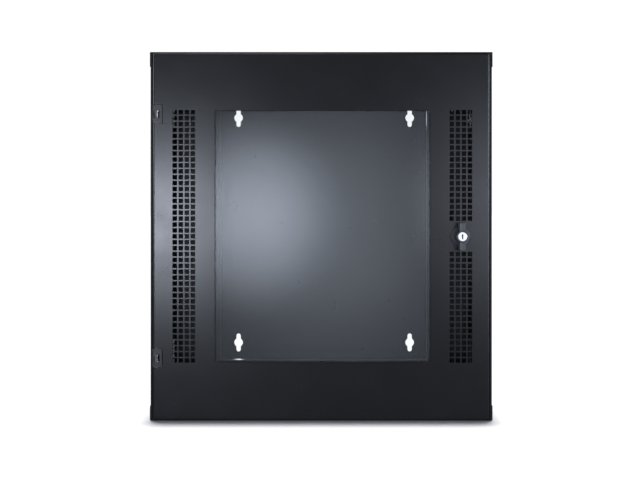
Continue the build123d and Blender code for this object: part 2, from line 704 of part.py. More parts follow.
def door_hinge_lug(z):
    """An angle on the door's inner face whose shelf rests above the body's hinge bracket."""
    bottom = z + HINGE_PLATE_H / 2 + LUG_GAP
    left = -DOOR_WIDTH / 2 + SKIN
    shelf = block(left, -STIFFENER_X - STIFFENER_WIDTH, DOOR_IN, DOOR_IN + 12, bottom, bottom + LUG)
    shelf = fillet(shelf.edges().filter_by(Axis.Z).sort_by(Axis.X)[:2].sort_by(Axis.Y)[0], 2.2)
    foot = block(HINGE_X + 5.5, -STIFFENER_X - STIFFENER_WIDTH, DOOR_IN, DOOR_IN + 2, bottom, bottom + 26)
    return shelf + foot - rod((HINGE_X, HINGE_Y, bottom - 1), (0, 0, 1), PIN_R + FIT, LUG + 2)


def door_hinge_bracket(z):
    """The body's half of a hinge: a slotted face plate, two knuckles and a foot on the frame."""
    left = -DOOR_WIDTH / 2
    half = HINGE_PLATE_H / 2
    face = block(left + 0.2, left + HINGE_PLATE_W, DOOR_FACE + 0.2, DOOR_IN, z - half, z + half)
    knuckles = block(left + 0.4, HINGE_X + 5, DOOR_IN, HINGE_Y + 6, z - half, z + half)
    foot = block(-SIDE_IN_X + FRAME_LIP, left + 0.4, BODY_FRONT + 0.5, SEAL_FACE, z - half, z + half)
    slot_left = HINGE_X - HINGE_SLOT_W / 2 + 0.4
    slot_right = HINGE_X + HINGE_SLOT_W / 2 + 0.9
    slot_z = HINGE_SLOT_H / 2
    bracket = face + knuckles + foot
    bracket -= block(slot_left, slot_right, DOOR_FACE - 1, HINGE_Y + 5, z - slot_z, z + slot_z)
    return bracket - rod((HINGE_X, HINGE_Y, z - half - 1), (0, 0, 1), PIN_R + FIT, HINGE_PLATE_H + 2)


COLLAR_R = 4.2
COLLAR = 2.0


def hinge_pin(z):
    """A pin whose collar rests under the upper knuckle, and whose tip holds the door's lug."""
    half = HINGE_PLATE_H / 2
    bottom = z - half - 1.5
    top = z + half + LUG_GAP + LUG + 1.2
    pin = rod((HINGE_X, HINGE_Y, bottom), (0, 0, 1), PIN_R, top - bottom)
    pin = chamfer(pin.edges().filter_by(GeomType.CIRCLE), 0.7)
    collar_bottom = z + HINGE_SLOT_H / 2 - COLLAR - 0.05
    return pin + rod((HINGE_X, HINGE_Y, collar_bottom), (0, 0, 1), COLLAR_R, COLLAR)


def hinge_spring(z):
    bottom = z - HINGE_SLOT_H / 2
    height = HINGE_SLOT_H - COLLAR - 0.1
    return coil_spring((HINGE_X, HINGE_Y, bottom), 3.6, 0.35, height, 5)


# ---- Door lock -------------------------------------------------------------------------------
ESCUTCHEON_R = 16.5
ESCUTCHEON_STEP_R = 13.5
HUB_R = 10.2
HUB_BACK = DOOR_FACE - 7.4
WING_WIDTH = 10.2
WING_LENGTH = 47.6
WING_CHANNEL = 5.2      # between the ribs along each wing's edges
WING_CHANNEL_DEPTH = 1.8
WING_END = 1.4          # the channel stops this far from the wing's end
HANDLE_FRONT = DOOR_FACE - HANDLE_REACH
PLUG_R = 8.0
LOCK_BODY_R = 11.0
LOCK_BODY_LENGTH = 22.0


def lock_escutcheon():
    """A stepped round collar on the door's face."""
    base = rod((LOCK_X, DOOR_FACE, 0), (0, -1, 0), ESCUTCHEON_R, 3.2)
    step = rod((LOCK_X, DOOR_FACE, 0), (0, -1, 0), ESCUTCHEON_STEP_R, 7.0)
    base = fillet(base.edges().filter_by(GeomType.CIRCLE).sort_by(Axis.Y)[:1], 1.2)
    step = fillet(step.edges().filter_by(GeomType.CIRCLE).sort_by(Axis.Y)[:1], 1.2)
    return base + step - rod((LOCK_X, DOOR_FACE, 0), (0, -1, 0), SPINDLE_R + FIT, 8)


def lock_housing():
    """A sleeve through the door that the spindle turns in."""
    face = (LOCK_X, DOOR_FACE, 0)
    body = rod(face, (0, 1, 0), LOCK_BODY_R, LOCK_BODY_LENGTH)
    return body - rod(face, (0, 1, 0), SPINDLE_R + FIT, LOCK_BODY_LENGTH)


def lock_nut():
    return hex_nut((LOCK_X, DOOR_IN, 0), (0, 1, 0), LOCK_BODY_R, 5.0)


def wing_handle():
    """A hub with two upright wings, each with a channel between two ribs, and a plug pocket."""
    depth = HUB_BACK - HANDLE_FRONT
    hub = rod((LOCK_X, HUB_BACK, 0), (0, -1, 0), HUB_R, depth)
    hub = fillet(hub.edges().filter_by(GeomType.CIRCLE).sort_by(Axis.Y)[:1], 0.8)
    wing_sketch = Pos(LOCK_X, 0) * RectangleRounded(WING_WIDTH, WING_LENGTH, 1.8)
    wings = facing_front(wing_sketch, HUB_BACK, depth - 0.6)
    wings = fillet(wings.faces().sort_by(Axis.Y)[0].edges(), 0.8)
    channel_length = WING_LENGTH / 2 - HUB_R - WING_END
    for side in (-1, 1):
        middle = Pos(LOCK_X, side * (HUB_R + channel_length / 2))
        channel = middle * RectangleRounded(WING_CHANNEL, channel_length, 0.8)
        spine = middle * Rectangle(1.0, channel_length)
        bottom = HANDLE_FRONT + 0.6 + WING_CHANNEL_DEPTH
        wings -= facing_front(channel - spine, bottom, WING_CHANNEL_DEPTH + 1)
        wings -= facing_front(spine, bottom - 0.9, WING_CHANNEL_DEPTH)
    return hub + wings - rod((LOCK_X, HANDLE_FRONT, 0), (0, 1, 0), PLUG_R + FIT, 14.0)


def key_plug():
    return key_barrel((LOCK_X, HANDLE_FRONT, 0), (0, -1, 0), (1, 0, 0), PLUG_R, 13.5)


def lock_spindle():
    """A round shaft from the handle through the door to the cam."""
    shaft = rod((LOCK_X, HUB_BACK, 0), (0, 1, 0), SPINDLE_R, CAM_FRONT - HUB_BACK)
    return shaft - rod((LOCK_X, CAM_FRONT, 0), (0, -1, 0), 2.5, CAM_SCREW_GRIP)


def latch_cam():
    """A flat tongue that points up when released and behind the strike when turned."""
    tongue = SlotOverall(52, 18, rotation=90)
    sketch = Pos(LOCK_X, 17) * tongue - Pos(LOCK_X, 0) * Circle(2.5)
    return facing_front(sketch, CAM_FRONT + CAM_THICK, CAM_THICK)


def cam_screw():
    return pan_screw((LOCK_X, CAM_FRONT + CAM_THICK, 0), (0, 1, 0), 2.5, CAM_THICK + CAM_SCREW_GRIP)


# ---- The nodes -------------------------------------------------------------------------------
NODES = {
    "wall_back_plate": wall_back_plate(),
    "wall_top_panel": wall_top_panel(),
    "wall_bottom_panel": wall_bottom_panel(),
    "wall_cable_covers": top_and_bottom([cable_cover(WALL_ENTRY_Y)]),
    "wall_cover_screws": top_and_bottom(cable_cover_screws(WALL_ENTRY_Y)),
    "wall_flange_screws": flange_screws(-WALL_DEPTH / 2, 1),
    "swing_hinge_wall_leaves": [swing_leaf(z, True) for z in (-SWING_HINGE_Z, SWING_HINGE_Z)],
    "swing_hinge_pins": [swing_hinge_pin(z) for z in (-SWING_HINGE_Z, SWING_HINGE_Z)],
    "swing_hinge_wall_screws": swing_leaf_screws(True),
    "lock_keeper": lock_keeper(),
    "wall_ground_stud": ground_stud((SIDE_X - FRAME, -50, -240), (-1, 0, 0), 16.0),
    "top_panel": top_panel(),
    "bottom_panel": bottom_panel(),
    "left_side_panel": left_side_panel(),
    "right_side_panel": right_side_panel(),
    "front_frame": front_frame(),
    "rear_frame": rear_frame(),
    "rail_braces": rail_braces(),
    "fan_blanking_discs": fan_blanking_discs(),
    "fan_disc_screws": fan_disc_screws(),
    "cable_covers": top_and_bottom([cable_cover(CENTRE_ENTRY_Y)]),
    "cable_cover_screws": top_and_bottom(cable_cover_screws(CENTRE_ENTRY_Y)),
    "flange_screws": flange_screws((BODY_FRONT + CENTRE_BACK) / 2, 3),
    "swing_hinge_centre_leaves": [swing_leaf(z, False) for z in (-SWING_HINGE_Z, SWING_HINGE_Z)],
    "swing_hinge_centre_screws": swing_leaf_screws(False),
    "door_hinge_brackets": [door_hinge_bracket(z) for z in (-HINGE_Z, HINGE_Z)],
    "door_seal": door_seal(),
    "door_strike": door_strike(),
    "strike_rivets": strike_rivets(),
    "swing_lock_housing": swing_lock_housing(),
    "swing_lock_nut": swing_lock_nut(),
    "centre_ground_stud": ground_stud((SIDE_IN_X, -300, -120), (-1, 0, 0), 16.0),
    "left_rail": mirrored(right_rail()),
    "left_rail_bolts": [mirrored(b) for b in right_rail_bolts()],
    "right_rail": right_rail(),
    "right_rail_bolts": right_rail_bolts(),
    "door_panel": door_panel(),
    "window_gasket": window_gasket(),
    "window_glass": window_glass(),
    "window_retainer": window_retainer(),
    "retainer_studs": retainer_studs(),
    "retainer_nuts": retainer_nuts(),
    "door_stiffeners": door_stiffeners(),
    "door_ground_stud": ground_stud((WINDOW_X - VENT_X, DOOR_IN, -265), (0, 1, 0), 12.0),
    "door_hinge_lugs": [door_hinge_lug(z) for z in (-HINGE_Z, HINGE_Z)],
    "lock_escutcheon": lock_escutcheon(),
    "lock_housing": lock_housing(),
    "lock_nut": lock_nut(),
    "upper_hinge_pin": hinge_pin(HINGE_Z),
    "upper_hinge_spring": hinge_spring(HINGE_Z),
    "lower_hinge_pin": hinge_pin(-HINGE_Z),
    "lower_hinge_spring": hinge_spring(-HINGE_Z),
    "wing_handle": wing_handle(),
    "lock_spindle": lock_spindle(),
    "latch_cam": latch_cam(),
    "cam_screw": cam_screw(),
    "key_plug": key_plug(),
    "swing_lock_plug": swing_lock_plug(),
    "swing_lock_cam": swing_lock_cam(),
    "swing_cam_screw": swing_cam_screw(),
}

os.makedirs("parts", exist_ok=True)
for name, shapes in NODES.items():
    pieces = shapes if isinstance(shapes, list) else [shapes]
    solids = [solid for piece in pieces for solid in piece.solids()]
    export_step(Compound(children=solids), f"parts/{name}.step")
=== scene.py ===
import json
import math
import random

import bmesh
import bpy
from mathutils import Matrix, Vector


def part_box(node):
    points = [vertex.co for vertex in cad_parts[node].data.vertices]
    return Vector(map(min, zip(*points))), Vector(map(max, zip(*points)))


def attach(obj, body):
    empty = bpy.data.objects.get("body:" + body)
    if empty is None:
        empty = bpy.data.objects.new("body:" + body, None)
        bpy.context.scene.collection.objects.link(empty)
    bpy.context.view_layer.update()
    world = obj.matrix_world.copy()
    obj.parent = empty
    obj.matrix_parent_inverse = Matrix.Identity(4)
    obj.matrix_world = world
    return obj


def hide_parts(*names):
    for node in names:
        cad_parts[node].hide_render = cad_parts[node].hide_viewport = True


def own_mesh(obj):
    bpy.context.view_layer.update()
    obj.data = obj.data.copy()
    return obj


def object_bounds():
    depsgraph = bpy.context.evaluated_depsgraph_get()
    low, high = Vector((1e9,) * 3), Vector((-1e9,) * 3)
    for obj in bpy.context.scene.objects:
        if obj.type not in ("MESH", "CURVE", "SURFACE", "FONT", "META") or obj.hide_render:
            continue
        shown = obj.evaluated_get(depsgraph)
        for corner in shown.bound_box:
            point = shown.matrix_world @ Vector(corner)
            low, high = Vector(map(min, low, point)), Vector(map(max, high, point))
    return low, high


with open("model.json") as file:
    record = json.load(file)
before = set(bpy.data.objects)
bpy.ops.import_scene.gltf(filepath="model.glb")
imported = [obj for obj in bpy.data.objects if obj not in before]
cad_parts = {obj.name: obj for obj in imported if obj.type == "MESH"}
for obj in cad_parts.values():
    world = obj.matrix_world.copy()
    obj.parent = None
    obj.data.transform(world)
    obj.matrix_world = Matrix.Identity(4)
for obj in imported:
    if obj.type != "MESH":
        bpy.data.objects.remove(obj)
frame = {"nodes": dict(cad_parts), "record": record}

CAD_LOW, CAD_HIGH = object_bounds()
FOOT_Z = CAD_LOW.z
DOOR_FACE_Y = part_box("door_panel")[0].y
SHEET = 0.0012            # the door's steel, in metres like every length here


# ---- Materials ---------------------------------------------------------------------------------
EDGE_RADIUS = 0.0004      # how far every sharp edge looks rounded off
EDGE_WEAR_WIDTH = 0.0007
EDGE_WEAR_TONE = 4.5      # rubbed edges are this many times paler than the coat
COAT_GRAIN = 1500.0
PLATING_STREAKS = 240.0
MOULD_GRAIN = 2600.0
FOAM_CELLS = 900.0
GLASS_IOR = 1.52


class Nodes:
    """A short way to build one material's node tree."""

    def __init__(self, name):
        self.material = bpy.data.materials.new(name)
        self.material.use_nodes = True
        self.tree = self.material.node_tree
        self.shader = self.tree.nodes["Principled BSDF"]

    def add(self, kind, **inputs):
        node = self.tree.nodes.new(kind)
        for key, value in inputs.items():
            node.inputs[key.replace("_", " ")].default_value = value
        return node

    def link(self, source, target):
        self.tree.links.new(source, target)

    def noise(self, scale, detail=2.0, roughness=0.5):
        place = self.tree.nodes.new("ShaderNodeTexCoord")
        noise = self.add("ShaderNodeTexNoise", Scale=scale, Detail=detail, Roughness=roughness)
        self.link(place.outputs["Object"], noise.inputs["Vector"])
        return noise.outputs["Fac"]

    def spread(self, source, low, high):
        """Maps a noise, which mostly lies between 0.3 and 0.7, to a range."""
        node = self.tree.nodes.new("ShaderNodeMapRange")
        node.inputs["From Min"].default_value = 0.3
        node.inputs["From Max"].default_value = 0.7
        node.inputs["To Min"].default_value = low
        node.inputs["To Max"].default_value = high
        self.link(source, node.inputs["Value"])
        return node.outputs["Result"]

    def blend(self, source, low, high):
        """Mixes two colours by a 0 to 1 value."""
        node = self.tree.nodes.new("ShaderNodeMix")
        node.data_type = "RGBA"
        node.inputs["A"].default_value = (*low, 1.0)
        node.inputs["B"].default_value = (*high, 1.0)
        self.link(source, node.inputs["Factor"])
        return node.outputs["Result"]

    def rounded_normal(self, radius):
        """The surface's direction as if its edges were rounded to this radius."""
        node = self.tree.nodes.new("ShaderNodeBevel")
        node.samples = 4
        node.inputs["Radius"].default_value = radius
        return node.outputs["Normal"]

    def edges(self, radius):
        """1 along the sharp edges, falling to 0 on the flats: how far the rounded normal turns."""
        true_normal = self.tree.nodes.new("ShaderNodeNewGeometry").outputs["Normal"]
        turn = self.tree.nodes.new("ShaderNodeVectorMath")
        turn.operation = "DOT_PRODUCT"
        self.link(self.rounded_normal(radius), turn.inputs[0])
        self.link(true_normal, turn.inputs[1])
        mask = self.tree.nodes.new("ShaderNodeMapRange")
        mask.inputs["From Min"].default_value = 0.98
        mask.inputs["From Max"].default_value = 0.72
        self.link(turn.outputs["Value"], mask.inputs["Value"])
        return mask.outputs["Result"]

    def times(self, one, other):
        """Multiplies two 0 to 1 values."""
        node = self.tree.nodes.new("ShaderNodeMath")
        node.operation = "MULTIPLY"
        node.use_clamp = True
        self.link(one, node.inputs[0])
        self.link(other, node.inputs[1])
        return node.outputs["Value"]

    def mixed(self, factor, low, high):
        """Mixes a linked colour towards a fixed one."""
        node = self.tree.nodes.new("ShaderNodeMix")
        node.data_type = "RGBA"
        self.link(factor, node.inputs["Factor"])
        self.link(low, node.inputs["A"])
        node.inputs["B"].default_value = (*high, 1.0)
        return node.outputs["Result"]

    def bump(self, source, strength, distance):
        """Raises the surface by a value, over edges that look rounded."""
        node = self.add("ShaderNodeBump", Strength=strength, Distance=distance)
        self.link(source, node.inputs["Height"])
        self.link(self.rounded_normal(EDGE_RADIUS), node.inputs["Normal"])
        self.link(node.outputs["Normal"], self.shader.inputs["Normal"])


def powder_coat(name, dark, light, roughness, bump=0.25):
    """Fine-texture powder coat: tiny orange-peel bumps, clouds of tone, and edges rubbed greyer."""
    m = Nodes(name)
    clouds = m.blend(m.noise(9.0, detail=4.0), dark, light)
    rubbed = m.times(m.edges(EDGE_WEAR_WIDTH), m.spread(m.noise(55.0, detail=5.0), 0.15, 0.8))
    bare = tuple(EDGE_WEAR_TONE * c for c in light)
    m.link(m.mixed(rubbed, clouds, bare), m.shader.inputs["Base Color"])
    gloss = m.spread(m.noise(26.0, detail=5.0), roughness - 0.015, roughness + 0.015)
    m.link(gloss, m.shader.inputs["Roughness"])
    m.bump(m.noise(COAT_GRAIN, detail=2.0), bump, 0.00004)
    return m.material


def metal(name, colour, roughness):
    """Plated or ground steel with fine streaks in its gloss."""
    m = Nodes(name)
    m.shader.inputs["Metallic"].default_value = 1.0
    darker = tuple(c * 0.82 for c in colour)
    m.link(m.blend(m.noise(60.0, detail=3.0), darker, colour), m.shader.inputs["Base Color"])
    fine = m.noise(PLATING_STREAKS, detail=4.0)
    m.link(m.spread(fine, roughness * 0.7, roughness * 1.3), m.shader.inputs["Roughness"])
    m.bump(fine, 0.08, 0.00005)
    return m.material


def moulded(name, dark, light, roughness):
    """Satin moulded plastic, with a fine spark-eroded grain."""
    m = Nodes(name)
    m.link(m.blend(m.noise(30.0, detail=3.0), dark, light), m.shader.inputs["Base Color"])
    gloss = m.spread(m.noise(70.0, detail=3.0), roughness - 0.04, roughness + 0.04)
    m.link(gloss, m.shader.inputs["Roughness"])
    m.bump(m.noise(MOULD_GRAIN, detail=1.0), 0.2, 0.00005)
    return m.material


def foam(name):
    """Closed-cell foam with small pits."""
    m = Nodes(name)
    cells = m.tree.nodes.new("ShaderNodeTexVoronoi")
    cells.inputs["Scale"].default_value = FOAM_CELLS
    place = m.tree.nodes.new("ShaderNodeTexCoord")
    m.link(place.outputs["Object"], cells.inputs["Vector"])
    tone = m.blend(m.noise(120.0, detail=3.0), (0.012, 0.012, 0.013), (0.026, 0.026, 0.028))
    m.link(tone, m.shader.inputs["Base Color"])
    m.link(m.spread(m.noise(300.0), 0.85, 0.98), m.shader.inputs["Roughness"])
    m.bump(cells.outputs["Distance"], 0.6, 0.0003)
    return m.material


def clear_glass(name):
    """Clear tempered sheet: what is behind shows straight through, and lamps mirror in its face."""
    m = Nodes(name)
    tree = m.tree
    through = tree.nodes.new("ShaderNodeBsdfTransparent")
    through.inputs["Color"].default_value = (0.93, 0.95, 0.955, 1.0)
    m.shader.inputs["Base Color"].default_value = (0.98, 0.99, 1.0, 1.0)
    m.shader.inputs["Metallic"].default_value = 1.0
    smears = m.noise(6.0, detail=2.0)
    m.link(m.spread(smears, 0.08, 0.11), m.shader.inputs["Roughness"])
    fresnel = m.add("ShaderNodeFresnel", IOR=GLASS_IOR)
    mix = tree.nodes.new("ShaderNodeMixShader")
    m.link(fresnel.outputs[0], mix.inputs[0])
    m.link(through.outputs[0], mix.inputs[1])
    m.link(m.shader.outputs[0], mix.inputs[2])
    m.link(mix.outputs[0], tree.nodes["Material Output"].inputs["Surface"])
    return m.material


BLACK_COAT = ((0.0062, 0.0066, 0.0074), (0.0085, 0.009, 0.010))     # darkest and lightest tone
FRAME_COAT = ((0.0062, 0.0066, 0.0072), (0.0085, 0.009, 0.0098))
BLACK_OXIDE = ((0.010, 0.010, 0.011), (0.018, 0.018, 0.02))
BLACK_PLASTIC = ((0.010, 0.010, 0.011), (0.016, 0.016, 0.018))
BLACK_RUBBER = ((0.008, 0.008, 0.008), (0.014, 0.014, 0.015))

MATERIALS = {
    "black_powder_coat": powder_coat("black_powder_coat", *BLACK_COAT, 0.26),
    "black_frame_paint": powder_coat("black_frame_paint", *FRAME_COAT, 0.34),
    "black_screws": powder_coat("black_screws", *BLACK_OXIDE, 0.35, bump=0.1),
    "zinc_plate": metal("zinc_plate", (0.63, 0.64, 0.66), 0.28),
    "bright_steel": metal("bright_steel", (0.70, 0.705, 0.72), 0.24),
    "chrome_plate": metal("chrome_plate", (0.86, 0.87, 0.885), 0.12),
    "handle_black": moulded("handle_black", *BLACK_PLASTIC, 0.36),
    "gasket_rubber": moulded("gasket_rubber", *BLACK_RUBBER, 0.7),
    "seal_foam": foam("seal_foam"),
    "window_glass": clear_glass("window_glass"),
}


def dress_cad_nodes():
    """Gives every CAD node the material of its slot."""
    for subpart in frame["record"]["subparts"]:
        node = frame["nodes"][subpart["node"]]
        node.data.materials.clear()
        node.data.materials.append(MATERIALS[subpart["material_slot"]])
        node.data.polygons.foreach_set("material_index", [0] * len(node.data.polygons))


dress_cad_nodes()


# ---- Pieces ------------------------------------------------------------------------------------
SEAL_WIDTH = 0.012
SEAL_STEP = 0.005         # the foam's height varies once in this length
GLASS_OVERLAP = 0.012     # how far the edging reaches in over the glass
EDGING_LIP = 0.0005       # how far the edging stands out past the opening's edge
OPENING_CORNER = 0.0015
CORNER_STEPS = 8
SPRING_WIRE = 0.00035     # the wire's radius
SPRING_TURNS = 6.5
STEPS_A_TURN = 40
WIRE_SIDES = 10
KEYWAY_HALF = 0.00090     # half of the key slot's width
KEYWAY_NOTCH = 0.00155    # the warding notch's reach from the slot's middle
KEYWAY_GAP = 0.00005      # the black shade insert stays this far inside the keyway's walls


def piece(name, points, faces, body, slot, *nodes):
    """Makes a smooth mesh that rides a body, and replaces any CAD nodes named."""
    mesh = bpy.data.meshes.new(name)
    mesh.from_pydata([tuple(p) for p in points], [], faces)
    built = bmesh.new()
    built.from_mesh(mesh)
    bmesh.ops.recalc_face_normals(built, faces=built.faces)
    built.to_mesh(mesh)
    built.free()
    mesh.polygons.foreach_set("use_smooth", [True] * len(mesh.polygons))
    mesh.set_sharp_from_angle(angle=math.radians(40))
    mesh.materials.append(MATERIALS[slot])
    obj = bpy.data.objects.new(name, mesh)
    bpy.context.scene.collection.objects.link(obj)
    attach(obj, body)
    if nodes:
        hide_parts(*nodes)
    return obj


def loft(rings, closed):
    """Joins equal rings of points; a closed loft meets itself, an open one has flat ends."""
    count = len(rings[0])
    points = [point for ring in rings for point in ring]
    faces = []
    for i in range(len(rings) if closed else len(rings) - 1):
        here = i * count
        there = (i + 1) % len(rings) * count
        for k in range(count):
            n = (k + 1) % count
            faces.append((here + k, here + n, there + n, there + k))
    if not closed:
        faces.append(tuple(range(count)))
        faces.append(tuple(range(len(points) - count, len(points))))
    return points, faces


def strip(start, end, across, out, profile, wobble):
    """A soft strip from start to end, whose profile's height varies a little along its length."""
    steps = max(2, round((end - start).length / SEAL_STEP))
    rings = []
    for i in range(steps + 1):
        middle = start.lerp(end, i / steps)
        crown = 1.0 - wobble.random() * 0.05
        rings.append([middle + across * u + out * (v * crown) for u, v in profile])
    return loft(rings, closed=False)


def crowned_profile(width, height):
    """Flat below, and rounded at both shoulders."""
    top = []
    for i in range(17):
        angle = math.pi * i / 16
        side = math.copysign(abs(math.cos(angle)) ** 0.4, math.cos(angle))
        top.append((side * width / 2, height * max(math.sin(angle), 0.0) ** 0.4))
    return top


def door_seal():
    """Four lengths of foam strip round the body's front flange."""
    low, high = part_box("door_seal")
    profile = crowned_profile(SEAL_WIDTH, high.y - low.y)
    out = Vector((0, -1, 0))
    wobble = random.Random(11)
    points = []
    faces = []
    side_x = high.x - SEAL_WIDTH / 2
    end_x = side_x - SEAL_WIDTH / 2
    end_z = high.z - SEAL_WIDTH / 2
    runs = [((x, low.z, x, high.z), Vector((1, 0, 0))) for x in (-side_x, side_x)]
    runs += [((-end_x, z, end_x, z), Vector((0, 0, 1))) for z in (-end_z, end_z)]
    for (x0, z0, x1, z1), across in runs:
        start = Vector((x0, high.y, z0))
        end = Vector((x1, high.y, z1))
        new_points, new_faces = strip(start, end, across, out, profile, wobble)
        faces += [tuple(k + len(points) for k in face) for face in new_faces]
        points += new_points
    piece("foam_door_seal", points, faces, "centre_section", "seal_foam", "door_seal")


def rounded_loop(centre, half_x, half_z, radius):
    """Corner centres and outward directions round a rectangle with rounded corners."""
    loop = []
    for corner, (side_x, side_z) in enumerate(((1, 1), (-1, 1), (-1, -1), (1, -1))):
        corner_x = centre.x + side_x * (half_x - radius)
        corner_z = centre.z + side_z * (half_z - radius)
        middle = Vector((corner_x, 0, corner_z))
        for i in range(CORNER_STEPS + 1):
            angle = math.pi / 2 * (corner + i / CORNER_STEPS)
            loop.append((middle, Vector((math.cos(angle), 0, math.sin(angle)))))
    return loop


def window_edging():
    """A rubber channel between the door's sheet and the glass, with a lip round the opening."""
    low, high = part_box("window_gasket")
    glass_y = high.y
    packing = high.y - low.y
    profile = [
        (GLASS_OVERLAP - 0.0003, 0.0), (GLASS_OVERLAP, 0.0003), (GLASS_OVERLAP, packing),
        (-0.00005, packing), (-0.00005, packing + 0.7 * SHEET),
        (-0.4 * EDGING_LIP, packing + 0.8 * SHEET), (-0.8 * EDGING_LIP, packing + 0.7 * SHEET),
        (-EDGING_LIP, packing + 0.4 * SHEET), (-EDGING_LIP, 0.0),
    ]
    half_x = (high.x - low.x) / 2 - GLASS_OVERLAP
    half_z = (high.z - low.z) / 2 - GLASS_OVERLAP
    rings = []
    for middle, outward in rounded_loop((low + high) / 2, half_x, half_z, OPENING_CORNER):
        ring = []
        for u, v in profile:
            ring.append(middle + outward * (OPENING_CORNER + u) + Vector((0, glass_y - v, 0)))
        rings.append(ring)
    points, faces = loft(rings, closed=True)
    piece("rubber_window_edging", points, faces, "door", "gasket_rubber", "window_gasket")


def coil_point(along, middle, radius, bottom, rise):
    """A point on a spring's wire and its outward direction, with a closed turn at each end."""
    closed_end = 1.0 / SPRING_TURNS
    climb = min(max((along - closed_end) / (1 - 2 * closed_end), 0.0), 1.0)
    at_ends = min(along, closed_end) + max(along - 1 + closed_end, 0.0)
    end_rise = 2 * SPRING_WIRE * at_ends / closed_end
    height = bottom + end_rise + climb * (rise - 4 * SPRING_WIRE)
    angle = 2 * math.pi * SPRING_TURNS * along
    outward = Vector((math.cos(angle), math.sin(angle), 0))
    return Vector((middle.x, middle.y, height)) + outward * radius, outward


def hinge_coil(name, node):
    """A compression spring the length of its CAD node, with a closed turn at each end."""
    low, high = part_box(node)
    middle = (low + high) / 2
    radius = (high.x - low.x) / 2 - SPRING_WIRE
    bottom = low.z + SPRING_WIRE
    rise = high.z - low.z - 2 * SPRING_WIRE
    steps = SPRING_TURNS * STEPS_A_TURN
    rings = []
    for i in range(round(steps) + 1):
        centre, outward = coil_point(i / steps, middle, radius, bottom, rise)
        ring = []
        for k in range(WIRE_SIDES):
            turn = 2 * math.pi * k / WIRE_SIDES
            lift = Vector((0, 0, SPRING_WIRE * math.sin(turn)))
            ring.append(centre + outward * (SPRING_WIRE * math.cos(turn)) + lift)
        rings.append(ring)
    points, faces = loft(rings, closed=False)
    spring = piece(name, points, faces, "centre_section", "bright_steel", node)
    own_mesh(spring)
    return spring


def keyway_shade_insert(name, node, body, across, up, inward):
    """A black insert in the keyway's shape, a little below a lock's bright face: it stands for the
    lock's wafers, and its black finish is painted shade for the deep keyway.
    """
    low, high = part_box(node)
    middle = (low + high) / 2
    reach = abs((high - low).dot(inward)) / 2
    face = middle - inward * reach
    barrel_r = abs((high - low).dot(up)) / 2
    half_h = 0.55 * barrel_r - KEYWAY_GAP
    notch_top = 0.4 * barrel_r - KEYWAY_GAP
    outline = [
        (-KEYWAY_HALF, -half_h), (KEYWAY_HALF, -half_h), (KEYWAY_HALF, half_h),
        (-KEYWAY_HALF, half_h), (-KEYWAY_HALF, notch_top), (-KEYWAY_NOTCH, notch_top),
        (-KEYWAY_NOTCH, KEYWAY_GAP), (-KEYWAY_HALF, KEYWAY_GAP),
    ]
    rings = []
    for depth, size in ((0.00295, 1.0), (0.0013, 1.0), (0.0010, 0.85), (0.0014, 0.6)):
        seat = face + inward * depth
        rings.append([seat + across * (u * size) + up * (v * size) for u, v in outline])
    points, faces = loft(rings, closed=False)
    piece(name, points, faces, body, "black_screws")


door_seal()
window_edging()
# Black inserts in both keyways: painted shade for the depth of each keyway
keyway_shade_insert("door_keyway_shade_insert", "key_plug", "key_plug",
           across=Vector((1, 0, 0)), up=Vector((0, 0, 1)), inward=Vector((0, 1, 0)))
keyway_shade_insert("swing_keyway_shade_insert", "swing_lock_plug", "swing_lock",
           across=Vector((0, 1, 0)), up=Vector((0, 0, -1)), inward=Vector((1, 0, 0)))
coils = [
    hinge_coil("upper_hinge_coil", "upper_hinge_spring"),
    hinge_coil("lower_hinge_coil", "lower_hinge_spring"),
]


# ---- Studio ------------------------------------------------------------------------------------
COOL = (0.90, 0.965, 1.12)
ROOM_COLOUR = (0.88, 0.95, 1.1, 1.0)
ROOM_GLOW = 0.19          # how bright the room is in what the paint mirrors
BACKDROP_GLOW = 1.05      # how bright it is to the camera
WHITE = (1.0, 1.0, 1.0, 1.0)
FLOOR_REACH = 400.0
FLOOR_DROP = 0.0005       # the floor lies this far below the cabinet's foot
LIGHT_WALL_Y = -2.5       # the front panels stand in this plane, behind the camera
CAMERA_DISTANCE = 1.593   # from the door's face
CAMERA_RIGHT = 0.0176     # of the door's middle
CAMERA_RISE = 0.0368      # above the door's middle


def camera_only(tree, seen, otherwise):
    """Shows one shader to the camera and another to everything else."""
    path = tree.nodes.new("ShaderNodeLightPath")
    mix = tree.nodes.new("ShaderNodeMixShader")
    tree.links.new(path.outputs["Is Camera Ray"], mix.inputs[0])
    tree.links.new(otherwise.outputs[0], mix.inputs[1])
    tree.links.new(seen.outputs[0], mix.inputs[2])
    return mix.outputs[0]


def studio_world():
    """A white room to the camera's eye, and a dim one for what the black paint mirrors."""
    world = bpy.data.worlds.new("studio")
    world.use_nodes = True
    tree = world.node_tree
    dim = tree.nodes["Background"]
    dim.inputs["Color"].default_value = ROOM_COLOUR
    dim.inputs["Strength"].default_value = ROOM_GLOW
    white = tree.nodes.new("ShaderNodeBackground")
    white.inputs["Color"].default_value = WHITE
    white.inputs["Strength"].default_value = BACKDROP_GLOW
    tree.links.new(camera_only(tree, white, dim), tree.nodes["World Output"].inputs["Surface"])
    bpy.context.scene.world = world


